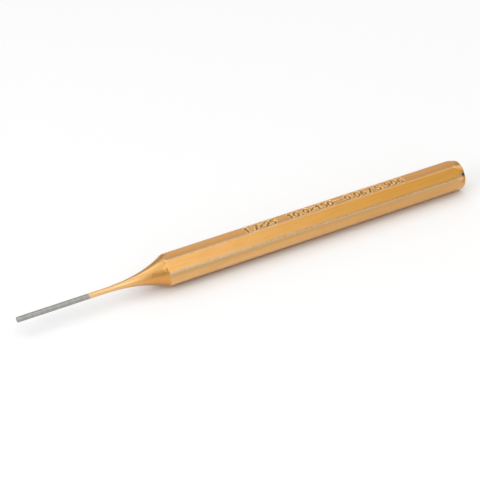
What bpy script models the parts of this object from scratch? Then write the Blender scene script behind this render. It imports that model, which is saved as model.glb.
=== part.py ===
"""Pin punch: one octagonal steel bar with a turned neck, a long parallel pin and a crowned head.

Units are metres, +Z is up. The punch lies on one of its flats, its length along X, with the
pin's tip towards -X and the struck head towards +X. The origin is on the surface that it
lies on, under the middle of its length.

The bar is an octagonal prism with softened ridges. The lathe's work is a second solid, turned
about the same axis: pin, neck and crown. What the two have in common is the punch, so each
flat ends in the scalloped curve where the turned surface runs out through it.
"""

import math

import bmesh
import bpy
from mathutils import Matrix

MM = 0.001

# Driving dimensions of the bar
OVERALL_LENGTH = 150.0 * MM
ACROSS_FLATS = 10.0 * MM
RIDGE_RADIUS = 1.0 * MM
FLATS = 8

# Driving dimensions of the pin, counted from its tip
PIN_DIAMETER = 1.7 * MM
PIN_LENGTH = 25.0 * MM
TIP_CHAMFER = 0.15 * MM
LACQUERED_PIN_LENGTH = 2.5 * MM

# Driving dimensions of the neck, which swells from the pin to the bar's ridges
NECK_LENGTH = 21.65 * MM
SHOULDER_ANGLE = math.radians(31.0)
# Shares of the neck's length over which its curve keeps close to the pin and to the shoulder's slope
PIN_EASE = 0.25
SHOULDER_EASE = 0.395

# Driving dimensions of the crown, counted from where the ridges end to the struck face:
# a slight cone, then the round of the rim
CROWN_LENGTH = 2.9 * MM
CROWN_ANGLE = math.radians(14.0)
RIM_RADIUS = 0.6 * MM

# How far the turned solid clears the ridges, and how far the bar stock sticks out at each end
TURNING_CLEARANCE = 0.1 * MM
STOCK_OVERHANG = 5.0 * MM

# Smoothness of the faceted solid
TURNED_STEPS = 104
NECK_STATIONS = 24
RIM_STATIONS = 8
RIDGE_SEGMENTS = 5
SHARP_ANGLE = math.radians(12.0)

# Finishes: linear colour, metallic and roughness
GOLD_LACQUER = ((0.72, 0.40, 0.12, 1.0), 0.6, 0.38)
BARE_STEEL = ((0.42, 0.42, 0.40, 1.0), 1.0, 0.35)

# Sizes that follow from the driving dimensions
HALF_CORNER = math.pi / FLATS
AXIS_HEIGHT = ACROSS_FLATS / 2
PIN_RADIUS = PIN_DIAMETER / 2
CORNER_RADIUS = AXIS_HEIGHT / math.cos(HALF_CORNER)
CREST_RADIUS = (AXIS_HEIGHT - RIDGE_RADIUS) / math.cos(HALF_CORNER) + RIDGE_RADIUS
TURNING_RADIUS = CORNER_RADIUS + TURNING_CLEARANCE
BARE_LENGTH = PIN_LENGTH - LACQUERED_PIN_LENGTH
SHOULDER_STATION = PIN_LENGTH + NECK_LENGTH


def clear_scene():
    for obj in list(bpy.data.objects):
        bpy.data.objects.remove(obj, do_unlink=True)


def new_collection(name):
    collection = bpy.data.collections.new(name)
    bpy.context.scene.collection.children.link(collection)
    return collection


def metal(name, finish):
    color, metallic, roughness = finish
    material = bpy.data.materials.new(name)
    material.use_nodes = True
    material.diffuse_color = color
    shader = material.node_tree.nodes["Principled BSDF"]
    shader.inputs["Base Color"].default_value = color
    shader.inputs["Metallic"].default_value = metallic
    shader.inputs["Roughness"].default_value = roughness
    return material


def add_object(name, mesh, collection, axis):
    obj = bpy.data.objects.new(name, mesh)
    obj.parent = axis
    collection.objects.link(obj)
    return obj


def punch_axis(collection):
    """An empty at the tip's end of the axis. Its own Z runs along the punch, towards the head."""
    axis = bpy.data.objects.new("punch_axis", None)
    axis.location = (-OVERALL_LENGTH / 2, 0.0, AXIS_HEIGHT)
    axis.rotation_euler = (0.0, math.radians(90.0), 0.0)
    collection.objects.link(axis)
    return axis


def neck_curve():
    """Points (station, radius) along the neck, from the pin to the shoulder: one Bezier curve.

    It leaves the pin along the pin's own surface and meets the ridges at the shoulder's angle.
    """
    ease_out = PIN_EASE * NECK_LENGTH
    ease_in = SHOULDER_EASE * NECK_LENGTH
    start = (PIN_LENGTH, PIN_RADIUS)
    start_handle = (PIN_LENGTH + ease_out, PIN_RADIUS)
    end_handle = (
        SHOULDER_STATION - ease_in * math.cos(SHOULDER_ANGLE),
        CREST_RADIUS - ease_in * math.sin(SHOULDER_ANGLE),
    )
    end = (SHOULDER_STATION, CREST_RADIUS)
    points = []
    for i in range(NECK_STATIONS + 1):
        u = i / NECK_STATIONS
        weights = ((1 - u) ** 3, 3 * u * (1 - u) ** 2, 3 * u ** 2 * (1 - u), u ** 3)
        corners = (start, start_handle, end_handle, end)
        station = sum(w * corner[0] for w, corner in zip(weights, corners))
        radius = sum(w * corner[1] for w, corner in zip(weights, corners))
        points.append((station, radius))
    return points


def crown_curve():
    """Points (station, radius) of the crown: the cone off the ridges, then the round of the rim.

    The cone starts farther back, at the radius that clears the ridges. The round leaves it
    along its own slope and ends square on the struck face.
    """
    cone_start = OVERALL_LENGTH - CROWN_LENGTH
    run_back = (TURNING_RADIUS - CREST_RADIUS) / math.tan(CROWN_ANGLE)
    rim_station = OVERALL_LENGTH - RIM_RADIUS
    cone_radius = CREST_RADIUS - (rim_station - cone_start) * math.tan(CROWN_ANGLE)
    rim_center_radius = cone_radius - RIM_RADIUS / math.cos(CROWN_ANGLE)
    points = [(cone_start - run_back, TURNING_RADIUS)]
    for i in range(RIM_STATIONS + 1):
        turn = CROWN_ANGLE + (math.radians(90.0) - CROWN_ANGLE) * i / RIM_STATIONS
        station = rim_station + RIM_RADIUS * math.sin(turn)
        radius = rim_center_radius + RIM_RADIUS * math.cos(turn)
        points.append((station, radius))
    return points


def turned_profile():
    """The whole turned outline as (station, radius), from the tip's centre to the head's."""
    # Past the ridges the neck's slope runs on to the radius that clears them
    run_out = (TURNING_RADIUS - CREST_RADIUS) / math.tan(SHOULDER_ANGLE)
    return [
        (0.0, 0.0),
        (0.0, PIN_RADIUS - TIP_CHAMFER),
        (TIP_CHAMFER, PIN_RADIUS),
        (BARE_LENGTH, PIN_RADIUS),
        *neck_curve(),
        (SHOULDER_STATION + run_out, TURNING_RADIUS),
        *crown_curve(),
        (OVERALL_LENGTH, 0.0),
    ]


def turned_solid(collection, axis):
    """The envelope that the lathe leaves. The faces nearest the tip are marked as bare steel."""
    # The Screw modifier wants its profile from the top down, so that the faces point out
    profile = [(radius, 0.0, station) for station, radius in reversed(turned_profile())]
    edges = [(i, i + 1) for i in range(len(profile) - 1)]
    mesh = bpy.data.meshes.new("turned_solid")
    mesh.from_pydata(profile, edges, [])
    obj = add_object("turned_solid", mesh, collection, axis)
    screw = obj.modifiers.new("Screw", "SCREW")
    screw.axis = "Z"
    screw.steps = TURNED_STEPS
    screw.render_steps = TURNED_STEPS
    screw.use_merge_vertices = True
    screw.merge_threshold = 0.000001

    bpy.context.view_layer.update()
    turned = bpy.data.meshes.new_from_object(obj.evaluated_get(bpy.context.evaluated_depsgraph_get()))
    obj.modifiers.clear()
    obj.data = turned
    for face in turned.polygons:
        face.material_index = 1 if face.center.z < BARE_LENGTH else 0
    return obj


def octagonal_bar(collection, axis):
    """The bar stock: an octagonal prism with softened ridges, one flat facing down."""
    centred = Matrix.Translation((0.0, 0.0, OVERALL_LENGTH / 2))
    flat_down = Matrix.Rotation(HALF_CORNER, 4, "Z")
    mesh = bpy.data.meshes.new("octagonal_bar")
    shape = bmesh.new()
    bmesh.ops.create_cone(
        shape,
        cap_ends=True,
        segments=FLATS,
        radius1=CORNER_RADIUS,
        radius2=CORNER_RADIUS,
        depth=OVERALL_LENGTH + 2 * STOCK_OVERHANG,
        matrix=centred @ flat_down,
    )
    shape.to_mesh(mesh)
    shape.free()
    obj = add_object("octagonal_bar", mesh, collection, axis)
    ridges = obj.modifiers.new("Ridges", "BEVEL")
    ridges.limit_method = "ANGLE"
    ridges.angle_limit = SHARP_ANGLE
    ridges.offset_type = "OFFSET"
    ridges.width = RIDGE_RADIUS * math.tan(HALF_CORNER)
    ridges.segments = RIDGE_SEGMENTS
    return obj


def pin_punch(bar, envelope, collection, axis, lacquer, bare_steel):
    """The punch: what the bar and the turned solid have in common."""
    cut = bar.modifiers.new("Turned", "BOOLEAN")
    cut.operation = "INTERSECT"
    cut.solver = "EXACT"
    cut.object = envelope
    bar.data.materials.append(lacquer)
    bar.data.materials.append(bare_steel)

    bpy.context.view_layer.update()
    mesh = bpy.data.meshes.new_from_object(bar.evaluated_get(bpy.context.evaluated_depsgraph_get()))
    bar.modifiers.remove(cut)
    mesh.name = "pin_punch"
    mesh.shade_smooth()
    mesh.set_sharp_from_angle(angle=SHARP_ANGLE)
    return add_object("pin_punch", mesh, collection, axis)


def main():
    clear_scene()
    parts = new_collection("pin_punch")
    cutters = new_collection("cutters")
    axis = punch_axis(parts)
    lacquer = metal("gold_lacquer_on_steel", GOLD_LACQUER)
    bare_steel = metal("bare_ground_steel", BARE_STEEL)

    bar = octagonal_bar(cutters, axis)
    envelope = turned_solid(cutters, axis)
    pin_punch(bar, envelope, parts, axis, lacquer, bare_steel)
    for cutter in (bar, envelope):
        cutter.hide_render = True
        cutter.display_type = "WIRE"


main()
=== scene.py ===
"""Looks of a pin punch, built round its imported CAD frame.

One mesh stands for the CAD solid. It keeps the solid's outline and adds what the solid leaves
out: softened run-outs, a rounded tip, stamped size figures, worn ridges and a chip in the rim
of the head.

Lengths are in millimetres until a mesh is made. A station is a distance along the punch from the
pin's tip. An angle goes round the punch from its top, 0, over the side that faces -Y, 90.
"""
import math

import bpy
import numpy as np
from mathutils import Matrix, Vector


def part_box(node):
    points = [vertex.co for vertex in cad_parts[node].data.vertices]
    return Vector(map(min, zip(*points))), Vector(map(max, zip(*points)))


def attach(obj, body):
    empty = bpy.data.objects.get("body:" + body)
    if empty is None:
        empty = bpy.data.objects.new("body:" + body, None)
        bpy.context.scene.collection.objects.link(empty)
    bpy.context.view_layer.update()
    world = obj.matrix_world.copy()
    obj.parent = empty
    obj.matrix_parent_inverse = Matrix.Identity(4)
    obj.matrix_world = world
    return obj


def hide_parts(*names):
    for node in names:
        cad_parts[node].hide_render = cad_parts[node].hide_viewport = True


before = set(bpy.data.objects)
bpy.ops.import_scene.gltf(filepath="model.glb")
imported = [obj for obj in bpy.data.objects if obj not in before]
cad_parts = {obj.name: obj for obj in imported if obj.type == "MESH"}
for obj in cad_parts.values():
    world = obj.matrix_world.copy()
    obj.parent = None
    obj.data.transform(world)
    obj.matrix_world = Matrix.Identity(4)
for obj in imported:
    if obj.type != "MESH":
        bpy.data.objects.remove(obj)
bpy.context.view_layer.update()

MM = 0.001

# The outline, as the CAD solid has it
LOWEST, HIGHEST = (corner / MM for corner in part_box("pin_punch"))
LENGTH = HIGHEST.x - LOWEST.x
HALF_ACROSS_FLATS = (HIGHEST.z - LOWEST.z) / 2
FLATS = 8
HALF_CORNER = math.radians(22.5)
RIDGE_RADIUS = 1.0
PIN_RADIUS = 0.85
PIN_LENGTH = 25.0
NECK_LENGTH = 21.65
SHOULDER_ANGLE = math.radians(31.0)
CROWN_LENGTH = 2.9
CROWN_ANGLE = math.radians(14.0)
RIM_RADIUS = 0.6

# Handles of the neck's curve at the pin and at the shoulder, as shares of the neck's length
PIN_EASE = 0.25
SHOULDER_EASE = 0.395

# The pin's tip is rounded more than the solid's chamfer, and bare up to the edge of the lacquer
TIP_ROUND = 0.35
BARE_LENGTH = 22.1

# Over how far the turned surface and the flats are rubbed into each other, and how far to each
# side of a ridge's crest that run-out gets a painted highlight
RUN_OUT_SOFTNESS = 0.12
RIDGE_END_REACH = 0.6

# Start and length of the stretch of bar along which its wear and its painted shade and highlights
# change from those at the shoulder to those at the head
CHANGE_START = 50.0
CHANGE_LENGTH = 80.0

# The pin and the thin part of the neck get a paler, painted highlight: the station where that
# ends, and over how far it fades before it
THIN_END = 43.0
THIN_FADE = 13.0

# How far to each side of its crest a ridge is rubbed, and how hard each ridge is at the shoulder
# and at the head, from the first past the top
RIDGE_WEAR = 0.32
SHOULDER_WEARS = (0.5, 1.0, 0.4, 0.9, 0.6, 0.8, 0.7, 0.6)
HEAD_WEARS = (0.12, 0.7, 0.2, 0.9, 0.6, 0.8, 0.7, 0.6)

# The chip in the rim of the head, with its station, angle, length and width
CHIP = (149.2, math.radians(60.0), 1.45, 1.4)
CHIP_DEPTH = 0.35

# Places where the lacquer is rubbed thin, beside the chip and where the first ridge ends. Each
# has a station, an angle, a length, a width and a strength
RUBBED_PLACES = (
    (148.4, math.radians(67.0), 1.5, 1.9, 0.9),
    (148.8, math.radians(26.0), 1.4, 0.9, 0.5),
)

# The stamped figures, on the flat that faces up. A figure takes a share of its cell's width, and
# a dot's cell is narrower than the others. The metal round a stroke is sunk a little, and the
# fade is how far that takes to run out
FIGURE_HEIGHT = 2.55
FIGURE_SHARE = 0.7
DOT_SHARE = 0.55
STROKE_HALF_WIDTH = 0.3
STROKE_DEPTH = 0.2
LIP_WIDTH = 0.17
LIP_HEIGHT = 0.06
SINK_FADE = 0.6
FAR_FROM_STROKES = 9.0

# Places where the lacquer is stained, given in the same way as the rubbed ones
STAINS = (
    (46.7, math.radians(-10.0), 1.25, 0.9, 0.55),
    (45.95, math.radians(48.6), 0.35, 0.75, 0.7),
    (54.9, math.radians(63.7), 0.45, 0.35, 0.7),
    (148.7, math.radians(84.0), 1.6, 1.4, 0.4),
)

# The photograph's view, in millimetres and in the part's own frame
CAMERA_LOCATION = (-108.72, -272.83, 208.64)
CAMERA_RIGHT = (0.90729, -0.41198, -0.08426)
CAMERA_DOWN = (-0.29843, -0.48966, -0.81925)
LENS = 86.93

# Length of the floor's sides and of the softboxes', in metres
FLOOR_SIDE = 4.0
SOFTBOX_SIDE = 0.5

# Softboxes, each with its name, its place in metres and its power in watts
SOFTBOXES = (
    ("front_softbox", (0.0, -0.585, 0.684), 0.74),
    ("low_front_softbox", (-0.09, -0.812, 0.379), 0.7),
    ("left_softbox", (-0.806, -0.179, 0.358), 2.3),
    ("right_softbox", (0.68, 0.0, 0.589), 0.51),
    ("left_back_softbox", (-0.315, 0.406, 0.739), 0.54),
    ("right_back_softbox", (0.317, 0.679, 0.498), 0.45),
)
WALL_BRIGHTNESS = 0.43
CEILING_BRIGHTNESS = 1.09

# Fineness of the mesh: points along the curves of tip, neck and rim, columns across each flat
# from the one that faces up, width of the narrow column at each edge of a flat, and columns over
# a ridge
TIP_POINTS = 8
NECK_POINTS = 200
RIM_POINTS = 24
FLAT_COLUMNS = (26, 16, 6, 6, 6, 6, 6, 6)
EDGE_COLUMN = 0.06
RIDGE_COLUMNS = 4

# Rings on the flat ends, as shares of the end's radius
TIP_END_RINGS = (0.66, 0.33)
HEAD_END_RINGS = (0.96, 0.8, 0.5, 0.2)

# Sizes that follow from those above
CREST_RADIUS = (HALF_ACROSS_FLATS - RIDGE_RADIUS) / math.cos(HALF_CORNER) + RIDGE_RADIUS
HALF_FLAT = (HALF_ACROSS_FLATS - RIDGE_RADIUS) * math.tan(HALF_CORNER)
FLAT_EDGE_ANGLE = math.atan(HALF_FLAT / HALF_ACROSS_FLATS)
SHOULDER_STATION = PIN_LENGTH + NECK_LENGTH

# Strokes of each figure, as points in a cell 1 wide and 1 high
FIGURES = {
    "0": [[
        (0.5, 1.0), (0.13, 0.82), (0.0, 0.5), (0.13, 0.18), (0.5, 0.0),
        (0.87, 0.18), (1.0, 0.5), (0.87, 0.82), (0.5, 1.0),
    ]],
    "1": [[(0.2, 0.75), (0.6, 1.0), (0.6, 0.0)]],
    "2": [[
        (0.0, 0.78), (0.25, 0.97), (0.7, 1.0), (0.97, 0.8), (0.83, 0.55),
        (0.0, 0.0), (1.0, 0.0),
    ]],
    "5": [[
        (0.93, 1.0), (0.13, 1.0), (0.07, 0.58), (0.58, 0.64), (0.97, 0.42),
        (0.83, 0.1), (0.42, 0.0), (0.0, 0.12),
    ]],
    "6": [[
        (0.83, 0.95), (0.33, 0.85), (0.03, 0.45), (0.17, 0.1), (0.58, 0.0),
        (0.97, 0.18), (0.87, 0.45), (0.47, 0.55), (0.08, 0.4),
    ]],
    "7": [[(0.0, 1.0), (1.0, 1.0), (0.37, 0.0)]],
    "9": [[
        (0.17, 0.05), (0.67, 0.15), (0.97, 0.55), (0.83, 0.9), (0.42, 1.0),
        (0.03, 0.82), (0.13, 0.55), (0.53, 0.45), (0.92, 0.6),
    ]],
    ".": [[(0.5, 0.0), (0.5, 0.12)]],
    "x": [[(0.1, 0.2), (0.9, 0.75)], [(0.1, 0.75), (0.9, 0.2)]],
    "-": [[(-0.2, 0.5), (1.2, 0.5)]],
}
# Rows of figures, each with its first station, the width of a cell and the figures. They are the
# punch's plain sizes, in millimetres before the dash and in inches after it
FIGURE_ROWS = (
    (73.2, 2.0, "1.7x25"),
    (88.0, 2.15, "10.0x150"),
    (104.7, 3.2, "-"),
    (108.2, 2.2, "0.067"),
    (119.2, 2.25, "5.906"),
)


def linear(code):
    """A hex sRGB colour as linear red, green, blue and alpha."""
    shares = [int(code[i: i + 2], 16) / 255 for i in (1, 3, 5)]
    return (*(s / 12.92 if s <= 0.04045 else ((s + 0.055) / 1.055) ** 2.4 for s in shares), 1.0)


def add(tree, kind, inputs=None, **settings):
    """Adds a node. inputs maps its sockets to values, or to outputs that are linked to them."""
    node = tree.nodes.new(kind)
    for name, value in settings.items():
        setattr(node, name, value)
    for socket, value in (inputs or {}).items():
        if isinstance(value, bpy.types.NodeSocket):
            tree.links.new(value, node.inputs[socket])
        else:
            node.inputs[socket].default_value = value
    return node


def neck_curve():
    """The neck as one Bezier curve: along the pin at first, at the shoulder's slope at last."""
    ease_out = PIN_EASE * NECK_LENGTH
    ease_in = SHOULDER_EASE * NECK_LENGTH
    start = (PIN_LENGTH, PIN_RADIUS)
    start_handle = (PIN_LENGTH + ease_out, PIN_RADIUS)
    end_handle = (
        SHOULDER_STATION - ease_in * math.cos(SHOULDER_ANGLE),
        CREST_RADIUS - ease_in * math.sin(SHOULDER_ANGLE),
    )
    end = (SHOULDER_STATION, CREST_RADIUS)
    u = np.linspace(0.0, 1.0, NECK_POINTS)
    weights = np.stack([(1 - u) ** 3, 3 * u * (1 - u) ** 2, 3 * u ** 2 * (1 - u), u ** 3], 1)
    return weights @ np.array([start, start_handle, end_handle, end])


def tip_curve():
    """The round of the pin's tip, from its flat end to the pin's side."""
    turn = np.linspace(0.0, math.radians(90.0), TIP_POINTS)
    radius = PIN_RADIUS - TIP_ROUND * (1 - np.sin(turn))
    return np.stack([TIP_ROUND * (1 - np.cos(turn)), radius], 1)


def rim_curve():
    """The round of the head's rim, from the crown's cone to the struck face."""
    center_station = LENGTH - RIM_RADIUS
    cone_radius = CREST_RADIUS - (CROWN_LENGTH - RIM_RADIUS) * math.tan(CROWN_ANGLE)
    center_radius = cone_radius - RIM_RADIUS / math.cos(CROWN_ANGLE)
    turn = np.linspace(CROWN_ANGLE, math.radians(90.0), RIM_POINTS)
    station = center_station + RIM_RADIUS * np.sin(turn)
    radius = center_radius + RIM_RADIUS * np.cos(turn)
    return np.stack([station, radius], 1)


def turned_profile():
    """The turned outline as rows of (station, radius). Over the flats it clears the ridges."""
    clearance = 1.0
    return np.concatenate([
        tip_curve(),
        neck_curve(),
        [(SHOULDER_STATION + clearance / math.tan(SHOULDER_ANGLE), CREST_RADIUS + clearance)],
        [(LENGTH - CROWN_LENGTH - clearance / math.tan(CROWN_ANGLE), CREST_RADIUS + clearance)],
        rim_curve(),
    ])


def bar_radius(angle):
    """Distance from the axis to the octagonal bar, with its rounded ridges."""
    off = np.abs((angle + HALF_CORNER) % (2 * HALF_CORNER) - HALF_CORNER)
    ridge_center = (HALF_ACROSS_FLATS - RIDGE_RADIUS) / math.cos(HALF_CORNER)
    aside = ridge_center * np.sin(HALF_CORNER - off)
    past_center = np.sqrt(np.maximum(RIDGE_RADIUS ** 2 - aside ** 2, 0.0))
    on_ridge = ridge_center * np.cos(HALF_CORNER - off) + past_center
    return np.where(off < FLAT_EDGE_ANGLE, HALF_ACROSS_FLATS / np.cos(off), on_ridge)


def stations():
    """Stations of the mesh's rings, close together where the shape changes fast."""
    # Start, end and pitch of each stretch
    spans = (
        (0.0, TIP_ROUND, 0.05),
        (TIP_ROUND, 21.5, 1.0),
        (21.5, 22.9, 0.1),
        (22.9, PIN_LENGTH, 0.4),
        (PIN_LENGTH, 45.0, 0.5),
        (45.0, 47.4, 0.07),
        (47.4, 72.0, 2.0),
        (72.0, 132.0, 0.16),
        (132.0, 146.2, 1.5),
        (146.2, LENGTH, 0.08),
    )
    stretches = []
    for start, end, pitch in spans:
        count = max(2, round((end - start) / pitch) + 1)
        stretches.append(np.linspace(start, end, count)[:-1])
    return np.concatenate([*stretches, [LENGTH]])


def angles():
    """Angles of the mesh's lines, close together on the stamped flat and under the chip."""
    # A narrow column along each edge of a flat keeps the ridge's round shading off the flat
    edge_columns = (EDGE_COLUMN - HALF_FLAT, HALF_FLAT - EDGE_COLUMN)
    ridge_end = 2 * HALF_CORNER - FLAT_EDGE_ANGLE
    ridge_angles = np.linspace(FLAT_EDGE_ANGLE, ridge_end, RIDGE_COLUMNS + 1)[1:-1]
    turns = []
    for flat, columns in enumerate(FLAT_COLUMNS):
        offsets = np.linspace(-HALF_FLAT, HALF_FLAT, columns + 1)
        offsets = np.sort(np.concatenate([offsets, edge_columns]))
        flat_angles = np.arctan(offsets / HALF_ACROSS_FLATS)
        turns.append(2 * HALF_CORNER * flat + np.concatenate([flat_angles, ridge_angles]))
    return np.concatenate(turns)


def stroke_distance(station, across):
    """Distance of each point of the top flat from the nearest stroke of a figure."""
    nearest = np.full(station.shape, FAR_FROM_STROKES)
    for place, cell, figures in FIGURE_ROWS:
        for figure in figures:
            width = cell * (DOT_SHARE if figure == "." else 1.0)
            for stroke in FIGURES[figure]:
                points = [
                    (place + width * FIGURE_SHARE * x, (y - 0.5) * FIGURE_HEIGHT)
                    for x, y in stroke
                ]
                for (x0, y0), (x1, y1) in zip(points, points[1:]):
                    run = np.array([x1 - x0, y1 - y0])
                    along = (station - x0) * run[0] + (across - y0) * run[1]
                    share = np.clip(along / (run @ run), 0.0, 1.0)
                    gap = np.hypot(station - x0 - share * run[0], across - y0 - share * run[1])
                    nearest = np.minimum(nearest, gap)
            place += width
    return nearest


def smooth_step(value):
    """value, held between 0 and 1 and eased at both ends."""
    value = np.clip(value, 0.0, 1.0)
    return value * value * (3 - 2 * value)


def blot(station, angle, radius, place):
    """1 in the middle of a round mark and 0 well outside it.

    place starts with the mark's station, angle, length and width.
    """
    along = (station - place[0]) / (place[2] / 2)
    around = (angle - place[1] + math.pi) % (2 * math.pi) - math.pi
    around = around * radius / (place[3] / 2)
    return smooth_step(1.5 - np.hypot(along, around))


def marks(station, angle, radius, places):
    """The strongest of the marks at each point."""
    return np.max([blot(station, angle, radius, place) * place[4] for place in places], axis=0)


def punch_surface():
    """The mesh's grid: its points, and what is at each of them, such as ridge, groove or stain."""
    profile = turned_profile()
    station, angle = np.meshgrid(stations(), angles(), indexing="ij")
    turned = np.interp(station, profile[:, 0], profile[:, 1])
    bar = bar_radius(angle)
    near = np.maximum(RUN_OUT_SOFTNESS - np.abs(turned - bar), 0.0) / RUN_OUT_SOFTNESS
    radius = np.minimum(turned, bar) - near ** 2 * RUN_OUT_SOFTNESS / 4

    across = -radius * np.sin(angle)
    on_top_flat = np.cos(angle) > 0.9
    distance = np.where(on_top_flat, stroke_distance(station, across), FAR_FROM_STROKES)
    groove = smooth_step(1 - distance / STROKE_HALF_WIDTH)
    from_lip = (distance - STROKE_HALF_WIDTH - LIP_WIDTH) / LIP_WIDTH
    lip = np.exp(-from_lip ** 2) * (distance > STROKE_HALF_WIDTH)
    # The metal round the strokes is sunk by as much as the lips stand up, so that nothing stands
    # above the flat
    around_strokes = smooth_step(1.6 - distance / SINK_FADE)
    sunk = around_strokes * LIP_HEIGHT - lip * LIP_HEIGHT + groove * STROKE_DEPTH
    chip = blot(station, angle, radius, CHIP)
    radius = radius - np.maximum(sunk, 0.0) - chip * CHIP_DEPTH

    off = np.abs((angle + HALF_CORNER) % (2 * HALF_CORNER) - HALF_CORNER)
    from_crest = (HALF_CORNER - off) * CREST_RADIUS
    on_bar = smooth_step((turned - bar) / RUN_OUT_SOFTNESS + 0.5)
    # A ridge's wear runs on a little, past the edge where the turned surface ends
    past_edge = smooth_step((turned - bar) / 0.3 + 1.0)
    towards_head = smooth_step((station - CHANGE_START) / CHANGE_LENGTH)
    ridge = (angle // (2 * HALF_CORNER)).astype(int) % FLATS
    shoulder_worn = np.array(SHOULDER_WEARS)[ridge]
    head_worn = np.array(HEAD_WEARS)[ridge]
    worn = shoulder_worn * (1 - towards_head) + head_worn * towards_head
    run_out = np.exp(-(((turned - bar) / RUN_OUT_SOFTNESS) ** 2))
    ridge_end = np.exp(-((from_crest / RIDGE_END_REACH) ** 2))

    # How far each side of the punch faces up, out or down, for the painted shade and highlights
    # that change with it
    slanted = smooth_step((np.abs(np.sin(2 * angle)) - 0.55) / 0.3)
    upright = smooth_step((np.abs(np.sin(angle)) - 0.85) / 0.1)
    upward = smooth_step((np.cos(angle) - 0.85) / 0.1)
    upper_side = smooth_step((np.cos(angle) - 0.6) / 0.2)
    lower_side = smooth_step((0.55 - np.cos(angle)) / 0.3)
    underneath = smooth_step((-np.cos(angle) - 0.38) / 0.1)
    from_slant = np.abs((angle - math.radians(45.0) + math.pi) % (2 * math.pi) - math.pi)
    near_slant = smooth_step((math.radians(52.0) - from_slant) / math.radians(22.0))
    beside_slant = near_slant * (1 - slanted)
    # Painted shade, greyer: underneath, by the ridges beside the flat at 45 degrees, and on the
    # upright flats towards the head
    grey_shade_places = [
        0.5 * beside_slant * on_bar,
        0.6 * underneath,
        0.25 * upright * towards_head * on_bar,
    ]
    # Painted highlight: paler on the upright flats and on top of the turned parts away from the
    # head
    upright_flat_highlight = upright * on_bar * (1 - 0.6 * towards_head)
    neck_top_highlight = 0.55 * upper_side * (1 - on_bar) * (1 - towards_head)
    # Painted shade: darker on the top flat and on the lower side of the turned parts
    top_flat_shade = upward * on_bar * (0.5 + 0.5 * towards_head)
    turning_underside_shade = 0.85 * lower_side * (1 - on_bar)
    # Painted reflection tint, a deeper gold: on the slanted flats towards the head and on the
    # turned parts
    slanted_flat_reflection_tint = towards_head * slanted * on_bar
    turning_reflection_tint = 0.45 * (1 + towards_head) * (1 - on_bar)
    facts = {
        "turned": 1 - on_bar,
        "ridge": np.exp(-((from_crest / RIDGE_WEAR) ** 2)) * past_edge * worn,
        "groove": groove,
        "lip": lip,
        "chip": chip,
        "rubbed": marks(station, angle, radius, RUBBED_PLACES),
        # Painted highlight along the run-outs, most where a ridge's crest ends and a little more
        # towards the head
        "edge": run_out * (0.7 * ridge_end + 0.15 * towards_head),
        "stain": marks(station, angle, radius, STAINS),
        # Painted reflection tint, a deeper gold
        "painted_reflection_tint": slanted_flat_reflection_tint + turning_reflection_tint,
        # Painted shade, warm and darker
        "warm_painted_shade": top_flat_shade + turning_underside_shade,
        # Painted shade, greyer and darker
        "grey_painted_shade": np.max(grey_shade_places, axis=0),
        # Painted highlight, paler
        "painted_highlight": upright_flat_highlight + neck_top_highlight,
        # Painted highlight, paler on the pin and the thin part of the neck
        "thin": smooth_step((THIN_END - station) / THIN_FADE),
    }
    aside = -radius * np.sin(angle)
    height = radius * np.cos(angle) + HALF_ACROSS_FLATS
    return np.stack([station + LOWEST.x, aside, height], -1), facts


def patches(tree, along, around, detail=2.0):
    """Uneven patches on the punch, about that many millimetres long and wide, from 0 to 1."""
    place = add(tree, "ShaderNodeTexCoord").outputs["Object"]
    scale = (1 / (along * MM), 1 / (around * MM), 1 / (around * MM))
    sized = add(tree, "ShaderNodeMapping", {"Vector": place, "Scale": scale}).outputs["Vector"]
    inputs = {"Vector": sized, "Scale": 1.0, "Detail": detail}
    return add(tree, "ShaderNodeTexNoise", inputs).outputs["Fac"]


def between(tree, value, low, high, start, end):
    """start where value is low and end where it is high, in a straight line between them."""
    inputs = {"Value": value, "From Min": low, "From Max": high, "To Min": start, "To Max": end}
    return add(tree, "ShaderNodeMapRange", inputs).outputs["Result"]


def times(tree, a, b):
    """a times b."""
    return add(tree, "ShaderNodeMath", {0: a, 1: b}, operation="MULTIPLY").outputs["Value"]


def plus(tree, a, b):
    """a plus b."""
    return add(tree, "ShaderNodeMath", {0: a, 1: b}, operation="ADD").outputs["Value"]


def stained(tree, share, color, stain):
    """color, turned into stain by that share."""
    return add(tree, "ShaderNodeMix", {0: share, 6: color, 7: stain}, data_type="RGBA").outputs[2]


def fact(tree, name):
    """One of the values that punch_surface gives each point."""
    return add(tree, "ShaderNodeAttribute", attribute_name=name).outputs["Fac"]


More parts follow.
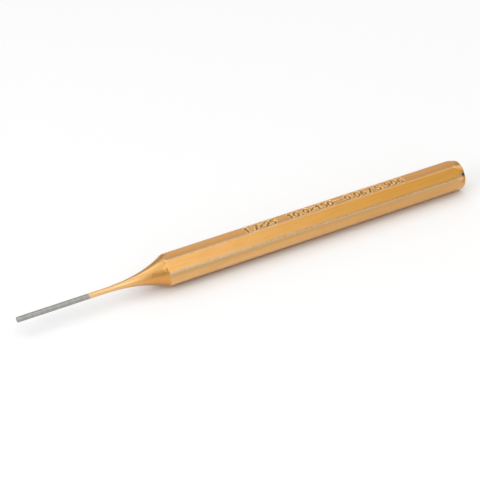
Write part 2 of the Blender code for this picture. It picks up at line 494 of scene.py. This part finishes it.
def lacquered_steel():
    """Thin gold lacquer, sprayed on steel bar that was drawn to an octagon and turned at its ends.

    The steel's own lines show through: along the bar on the flats, round it on neck and crown.
    Lacquer pools in light and brown streaks, and is rubbed thin along the ridges, to a paler gold.
    Shade, highlights and reflections are painted into its colour too: by how each side faces, on
    the pin, in and round the stamped strokes and along the run-outs.
    """
    material = bpy.data.materials.new("gold_lacquered_drawn_steel")
    material.use_nodes = True
    tree = material.node_tree
    shader = tree.nodes["Principled BSDF"]

    turned = fact(tree, "turned")
    mottle = between(tree, patches(tree, 7.0, 2.5), 0.35, 0.65, 0.0, 1.0)
    color = stained(tree, mottle, linear("#DDA65A"), linear("#E2AA68"))
    # Painted reflection tint: a deeper gold on the slanted flats towards the head and on the
    # turned parts, most at the head
    color = stained(tree, fact(tree, "painted_reflection_tint"), color, linear("#E8A94D"))
    # Painted highlight: paler on the upright flats and on top of the turned parts away from the
    # head, broken into clouds
    cloudy = between(tree, patches(tree, 2.0, 1.0), 0.4, 0.6, 0.7, 1.0)
    painted_highlight = times(tree, fact(tree, "painted_highlight"), cloudy)
    color = stained(tree, painted_highlight, color, linear("#E2B376"))
    # Painted shade: a darker, warmer gold on the top flat and on the lower side of the turned
    # parts
    color = stained(tree, fact(tree, "warm_painted_shade"), color, linear("#D89950"))
    # Painted highlight: the pin and the thin part of the neck are painted paler
    color = stained(tree, fact(tree, "thin"), color, linear("#EABD83"))
    # Painted shade: greyer and darker underneath, by the ridges beside the flat at 45 degrees, and
    # on the upright flats towards the head
    color = stained(tree, fact(tree, "grey_painted_shade"), color, linear("#B18C5B"))
    streaks = between(tree, patches(tree, 12.0, 0.4), 0.5, 0.72, 0.0, 0.25)
    color = stained(tree, streaks, color, linear("#B98748"))
    uneven = patches(tree, 1.1, 0.9)
    # Painted shade: the stamped strokes are darker, unevenly
    groove = times(tree, fact(tree, "groove"), between(tree, uneven, 0.35, 0.65, 0.9, 0.5))
    color = stained(tree, groove, color, linear("#7A5124"))
    # Painted highlight: the lips round the strokes are paler, in blotches
    lip = times(tree, fact(tree, "lip"), between(tree, uneven, 0.4, 0.6, 0.25, 1.0))
    color = stained(tree, lip, color, linear("#FFE2A6"))
    broken = between(tree, patches(tree, 0.9, 0.45), 0.38, 0.6, 0.3, 1.0)
    rubbed = times(tree, fact(tree, "ridge"), broken)
    color = stained(tree, times(tree, rubbed, 0.85), color, linear("#E6DCC2"))
    # Painted highlight along the run-outs of the turned surface into the flats
    color = stained(tree, times(tree, fact(tree, "edge"), 0.7), color, linear("#FFCF8C"))
    color = stained(tree, fact(tree, "rubbed"), color, linear("#FFC890"))
    color = stained(tree, fact(tree, "stain"), color, linear("#6E5140"))
    color = stained(tree, fact(tree, "chip"), color, linear("#3B3638"))
    tree.links.new(color, shader.inputs["Base Color"])

    # The steel's drawn lines and turned rings are really about 0.1 mm apart or less. That is too
    # fine to show, so both are made coarser here
    drawn = patches(tree, 6.0, 0.22)
    rings = patches(tree, 0.25, 8.0)
    lines = add(tree, "ShaderNodeMix", {0: turned, 2: drawn, 3: rings}).outputs[0]
    roughness = plus(tree, between(tree, lines, 0.3, 0.7, 0.30, 0.42), times(tree, rubbed, 0.1))
    roughness = plus(tree, roughness, times(tree, turned, -0.04))
    tree.links.new(roughness, shader.inputs["Roughness"])
    bump = add(tree, "ShaderNodeBump", {"Strength": 0.25, "Distance": 0.02 * MM, "Height": lines})
    tree.links.new(bump.outputs["Normal"], shader.inputs["Normal"])

    metal = between(tree, fact(tree, "chip"), 0.0, 1.0, 1.0, 0.4)
    tree.links.new(metal, shader.inputs["Metallic"])
    shader.inputs["Coat Weight"].default_value = 0.35
    shader.inputs["Coat Roughness"].default_value = 0.22
    return material


def bare_steel():
    """Bare tool steel, ground round. It looks grey and satin, with fine rings of uneven shine."""
    material = bpy.data.materials.new("bare_ground_tool_steel")
    material.use_nodes = True
    tree = material.node_tree
    shader = tree.nodes["Principled BSDF"]

    # The rings that grinding leaves are really less than 0.1 mm apart. That is too fine to show,
    # so they are made coarser here, in their shine and in their depth
    rings = patches(tree, 1.1, 5.0, 3.0)
    shade = between(tree, rings, 0.3, 0.7, 0.0, 1.0)
    color = stained(tree, shade, linear("#979592"), linear("#ADABA7"))
    tree.links.new(color, shader.inputs["Base Color"])
    tree.links.new(between(tree, rings, 0.3, 0.7, 0.34, 0.46), shader.inputs["Roughness"])
    depth = patches(tree, 0.3, 5.0)
    bump = add(tree, "ShaderNodeBump", {"Strength": 0.3, "Distance": 0.02 * MM, "Height": depth})
    tree.links.new(bump.outputs["Normal"], shader.inputs["Normal"])
    shader.inputs["Metallic"].default_value = 1.0
    return material


def floor_paper():
    """Matt white background paper: an even white with no shine."""
    material = bpy.data.materials.new("matt_white_paper")
    material.use_nodes = True
    shader = material.node_tree.nodes["Principled BSDF"]
    shader.inputs["Base Color"].default_value = linear("#FCFCFC")
    shader.inputs["Roughness"].default_value = 0.9
    shader.inputs["Specular IOR Level"].default_value = 0.1
    return material


def is_bare(point):
    """Whether the lacquer, whose edge is a little wavy, leaves that point bare."""
    angle = math.atan2(-point.y, point.z - HALF_ACROSS_FLATS)
    long_wave = 0.25 * math.sin(angle - 0.7)
    short_wave = 0.12 * math.sin(3 * angle)
    return point.x - LOWEST.x < BARE_LENGTH + long_wave + short_wave


def punch():
    """The punch as one closed mesh: the grid, and a disc of rings over each end.

    The corners of each face run so that it points outwards.
    """
    points, facts = punch_surface()
    rings, lines = points.shape[:2]
    vertices = [tuple(p) for p in points.reshape(-1, 3)]
    values = {name: list(value.reshape(-1)) for name, value in facts.items()}
    faces = []
    for i in range(rings - 1):
        for j in range(lines):
            k = (j + 1) % lines
            faces.append((i * lines + j, i * lines + k, (i + 1) * lines + k, (i + 1) * lines + j))
    for edge, shares, head in ((0, TIP_END_RINGS, False), (rings - 1, HEAD_END_RINGS, True)):
        outer = [edge * lines + j for j in range(lines)]
        center = np.array([points[edge, 0, 0], 0.0, HALF_ACROSS_FLATS])
        for share in shares:
            inner = list(range(len(vertices), len(vertices) + lines))
            for j in range(lines):
                vertices.append(tuple(center + (points[edge, j] - center) * share))
            for j in range(lines):
                k = (j + 1) % lines
                ring = (outer[j], outer[k], inner[k], inner[j])
                faces.append(ring if head else ring[::-1])
            outer = inner
        vertices.append(tuple(center))
        for j in range(lines):
            fan = (outer[j], outer[(j + 1) % lines], len(vertices) - 1)
            faces.append(fan if head else fan[::-1])
        for name, value in values.items():
            value.extend([1.0 if name == "turned" else 0.0] * (len(vertices) - len(value)))

    mesh = bpy.data.meshes.new("punch")
    mesh.from_pydata([Vector(v) * MM for v in vertices], [], faces)
    for name, value in values.items():
        attribute = mesh.attributes.new(name, "FLOAT", "POINT")
        attribute.data.foreach_set("value", np.array(value, np.float32))
    mesh.shade_smooth()
    mesh.materials.append(lacquered_steel())
    mesh.materials.append(bare_steel())
    material_indices = [int(is_bare(face.center / MM)) for face in mesh.polygons]
    mesh.polygons.foreach_set("material_index", material_indices)
    obj = bpy.data.objects.new("punch", mesh)
    bpy.context.scene.collection.objects.link(obj)
    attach(obj, "root")
    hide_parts("pin_punch")


def camera():
    """The photograph's camera."""
    data = bpy.data.cameras.new("camera")
    data.lens = LENS
    data.sensor_width = 36.0
    data.clip_start = 0.01
    data.clip_end = 20.0
    right = Vector(CAMERA_RIGHT).normalized()
    back = right.cross(-Vector(CAMERA_DOWN)).normalized()
    turn = Matrix((right, back.cross(right), back)).transposed().to_4x4()
    obj = bpy.data.objects.new("camera", data)
    obj.matrix_world = Matrix.Translation(Vector(CAMERA_LOCATION) * MM) @ turn
    bpy.context.scene.collection.objects.link(obj)
    bpy.context.scene.camera = obj


def floor():
    """A plain pale floor under the punch."""
    mesh = bpy.data.meshes.new("floor")
    half = FLOOR_SIDE / 2
    corners = [(-half, -half, 0), (half, -half, 0), (half, half, 0), (-half, half, 0)]
    mesh.from_pydata(corners, [], [(0, 1, 2, 3)])
    mesh.materials.append(floor_paper())
    obj = bpy.data.objects.new("floor", mesh)
    bpy.context.scene.collection.objects.link(obj)


def softbox(name, place, watts):
    """A square softbox at that place in metres, turned to the punch."""
    data = bpy.data.lights.new(name, "AREA")
    data.shape = "SQUARE"
    data.size = SOFTBOX_SIDE
    data.energy = watts
    obj = bpy.data.objects.new(name, data)
    obj.location = place
    obj.rotation_euler = (-Vector(place)).to_track_quat("-Z", "Y").to_euler()
    bpy.context.scene.collection.objects.link(obj)


def room():
    """A room with dim walls under a bright ceiling."""
    world = bpy.data.worlds.new("studio")
    world.use_nodes = True
    tree = world.node_tree
    way = add(tree, "ShaderNodeTexCoord").outputs["Generated"]
    height = add(tree, "ShaderNodeSeparateXYZ", {"Vector": way}).outputs["Z"]
    background = tree.nodes["Background"]
    background.inputs["Color"].default_value = linear("#FFFFFF")
    brightness = between(tree, height, 0.7, 0.8, WALL_BRIGHTNESS, CEILING_BRIGHTNESS)
    tree.links.new(brightness, background.inputs["Strength"])
    bpy.context.scene.world = world


bpy.context.scene.view_settings.view_transform = "Standard"
punch()
floor()
for softbox_name, softbox_place, softbox_watts in SOFTBOXES:
    softbox(softbox_name, softbox_place, softbox_watts)
room()
camera()
